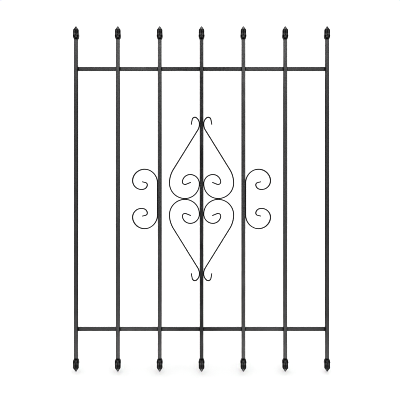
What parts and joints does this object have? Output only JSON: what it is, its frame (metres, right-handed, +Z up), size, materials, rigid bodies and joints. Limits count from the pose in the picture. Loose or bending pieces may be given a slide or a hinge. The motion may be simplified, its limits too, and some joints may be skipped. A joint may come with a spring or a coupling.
{
  "type": "window security bar",
  "caption": "Fixed window security grille of square vertical bars welded on rails, with bud finials at the bar ends and heart and C-shaped scroll work in the middle.",
  "frame": {"origin": "centre of the guard's bounding box", "axes": "+X along the rails to the right as seen from the street, +Z up the bars, -Y towards the street; the rails lie behind the bars on the +Y side"},
  "size_m": [0.9072, 0.0298, 1.2192],
  "materials": {
    "bars": "gloss black powder coat over square steel tube",
    "rails": "gloss black powder coat over square steel tube",
    "rail_caps": "gloss black powder coat over pressed steel",
    "finials": "high gloss black coat over cast metal",
    "scroll_strips": "gloss black powder coat over flat steel strip",
    "welds": "gloss black powder coat over rippled weld metal"
  },
  "bodies": {
    "root": {"vertical_bar_1": "bars", "vertical_bar_2": "bars", "vertical_bar_3": "bars", "vertical_bar_4": "bars", "vertical_bar_5": "bars", "vertical_bar_6": "bars", "vertical_bar_7": "bars", "top_rail": "rails", "bottom_rail": "rails", "top_rail_cap_left": "rail_caps", "top_rail_cap_right": "rail_caps", "bottom_rail_cap_left": "rail_caps", "bottom_rail_cap_right": "rail_caps", "top_finial_1": "finials", "top_finial_2": "finials", "top_finial_3": "finials", "top_finial_4": "finials", "top_finial_5": "finials", "top_finial_6": "finials", "top_finial_7": "finials", "bottom_finial_1": "finials", "bottom_finial_2": "finials", "bottom_finial_3": "finials", "bottom_finial_4": "finials", "bottom_finial_5": "finials", "bottom_finial_6": "finials", "bottom_finial_7": "finials", "heart_scroll_upper_left": "scroll_strips", "heart_scroll_upper_right": "scroll_strips", "heart_scroll_lower_left": "scroll_strips", "heart_scroll_lower_right": "scroll_strips", "side_scroll_left": "scroll_strips", "side_scroll_right": "scroll_strips", "top_rail_welds": "welds", "bottom_rail_welds": "welds", "heart_bar_tacks": "welds", "heart_joint_tacks": "welds", "side_scroll_tacks": "welds"}
  },
  "joints": []
}
